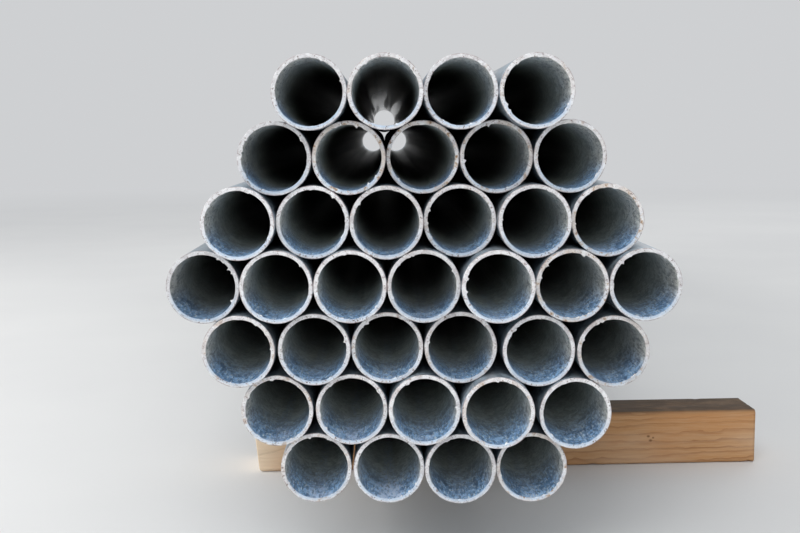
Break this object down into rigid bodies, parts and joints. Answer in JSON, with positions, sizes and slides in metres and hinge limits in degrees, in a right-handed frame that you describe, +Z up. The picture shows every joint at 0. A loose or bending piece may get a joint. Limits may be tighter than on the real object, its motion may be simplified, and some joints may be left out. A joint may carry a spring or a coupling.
{
  "type": "stack of steel tubes",
  "caption": "Hexagonal bundle of long galvanised round steel tubes with sawn ends, banded with steel straps and lying on softwood bearers.",
  "frame": {"origin": "middle of the bundle's bounding box, on the ground under the bearers", "axes": "+Z up, +Y along the tubes away from the near ends, +X to the right as seen from the near ends"},
  "size_m": [0.8784, 3.052, 0.6446],
  "materials": {
    "galvanised_steel": "dull zinc with a fine spangle, pale sawn rims with specks of rust",
    "softwood": "planed pine with straight grain and small knots",
    "band_steel": "blackened steel strapping, a little rusty at its edges",
    "seal_steel": "plain zinc-plated sheet"
  },
  "bodies": {
    "root": {"tube_1_1": "galvanised_steel", "tube_1_2": "galvanised_steel", "tube_1_3": "galvanised_steel", "tube_1_4": "galvanised_steel", "tube_2_1": "galvanised_steel", "tube_2_2": "galvanised_steel", "tube_2_3": "galvanised_steel", "tube_2_4": "galvanised_steel", "tube_2_5": "galvanised_steel", "tube_3_1": "galvanised_steel", "tube_3_2": "galvanised_steel", "tube_3_3": "galvanised_steel", "tube_3_4": "galvanised_steel", "tube_3_5": "galvanised_steel", "tube_3_6": "galvanised_steel", "tube_4_1": "galvanised_steel", "tube_4_2": "galvanised_steel", "tube_4_3": "galvanised_steel", "tube_4_4": "galvanised_steel", "tube_4_5": "galvanised_steel", "tube_4_6": "galvanised_steel", "tube_4_7": "galvanised_steel", "tube_5_1": "galvanised_steel", "tube_5_2": "galvanised_steel", "tube_5_3": "galvanised_steel", "tube_5_4": "galvanised_steel", "tube_5_5": "galvanised_steel", "tube_5_6": "galvanised_steel", "tube_6_1": "galvanised_steel", "tube_6_2": "galvanised_steel", "tube_6_3": "galvanised_steel", "tube_6_4": "galvanised_steel", "tube_6_5": "galvanised_steel", "tube_7_1": "galvanised_steel", "tube_7_2": "galvanised_steel", "tube_7_3": "galvanised_steel", "tube_7_4": "galvanised_steel", "bearer_near": "softwood", "bearer_far": "softwood", "band_near": "band_steel", "band_far": "band_steel", "seal_near": "seal_steel", "seal_far": "seal_steel"}
  },
  "joints": []
}
